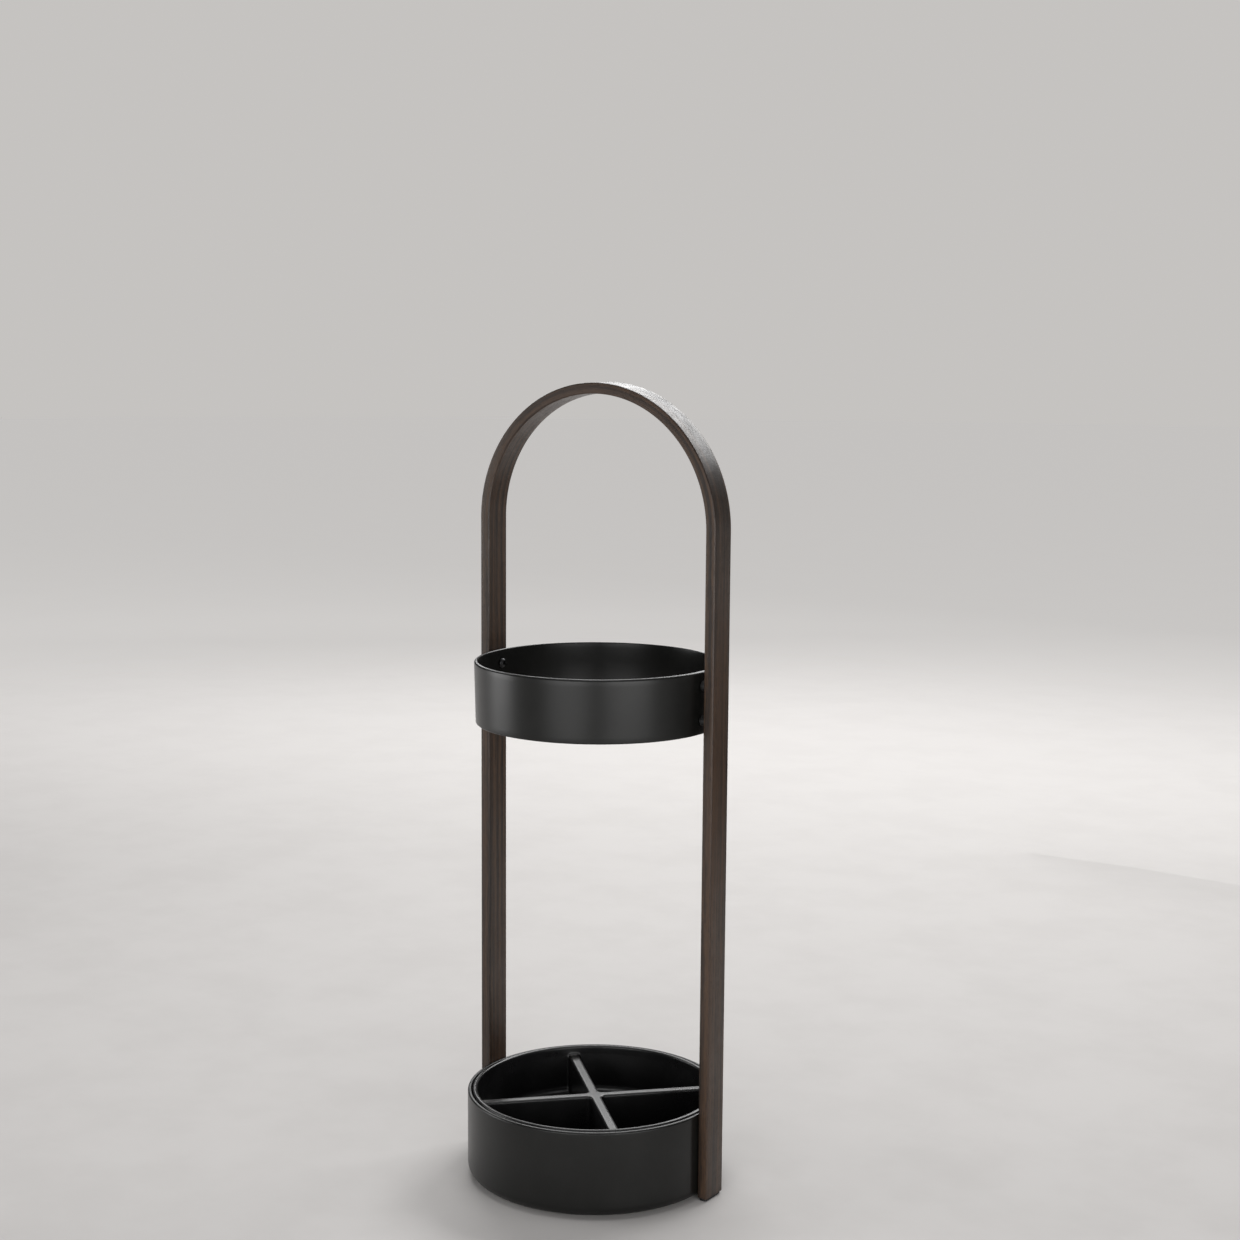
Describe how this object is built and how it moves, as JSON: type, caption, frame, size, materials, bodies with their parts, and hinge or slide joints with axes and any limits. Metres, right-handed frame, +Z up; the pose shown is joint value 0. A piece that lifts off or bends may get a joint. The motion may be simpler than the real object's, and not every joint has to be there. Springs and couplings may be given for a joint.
{
  "type": "umbrella stand",
  "caption": "Umbrella stand: a bent wood arch with straight legs carries a steel ring above a round weighted tub, whose lift-out liner has a cross divider.",
  "frame": {"origin": "on the floor, under the middle of the tub", "axes": "+Z up, +X across the two legs towards the right leg, -Y the front"},
  "size_m": [0.2201, 0.2048, 0.635],
  "materials": {
    "stained_wood": "dark walnut stain, satin lacquer, fine lengthwise grain",
    "black_coat": "satin matte black powder coat on steel",
    "silicone": "black moulded silicone, soft satin",
    "concrete": "cast concrete",
    "nylon": "black nylon",
    "blackened_steel": "black oxide",
    "zinc_steel": "bright zinc plate",
    "brass": "plain turned brass",
    "rubber_pad": "soft self-adhesive rubber"
  },
  "bodies": {
    "stand": {"bent_frame": "stained_wood", "upper_ring": "black_coat", "base_tub": "black_coat", "ballast_block": "concrete", "leg_glide_left": "nylon", "ring_screw_left_upper": "blackened_steel", "tub_screw_left_upper": "blackened_steel", "ring_spacer_left_upper": "nylon", "ring_insert_left_upper": "brass", "tub_insert_left_upper": "brass", "ring_screw_left_lower": "blackened_steel", "tub_screw_left_lower": "blackened_steel", "ring_spacer_left_lower": "nylon", "ring_insert_left_lower": "brass", "tub_insert_left_lower": "brass", "leg_glide_right": "nylon", "ring_screw_right_upper": "blackened_steel", "tub_screw_right_upper": "blackened_steel", "ring_spacer_right_upper": "nylon", "ring_insert_right_upper": "brass", "tub_insert_right_upper": "brass", "ring_screw_right_lower": "blackened_steel", "tub_screw_right_lower": "blackened_steel", "ring_spacer_right_lower": "nylon", "ring_insert_right_lower": "brass", "tub_insert_right_lower": "brass", "ballast_screw_1": "zinc_steel", "ballast_bushing_1": "brass", "ballast_screw_2": "zinc_steel", "ballast_bushing_2": "brass", "ballast_screw_3": "zinc_steel", "ballast_bushing_3": "brass", "foot_pad_1": "rubber_pad", "foot_pad_2": "rubber_pad", "foot_pad_3": "rubber_pad", "foot_pad_4": "rubber_pad"},
    "liner": {"drip_liner": "silicone"}
  },
  "joints": [
    {"name": "liner_lift", "type": "slide", "parent": "stand", "child": "liner", "axis": [0, 0, 1], "range_m": [0, 0.075]}
  ]
}
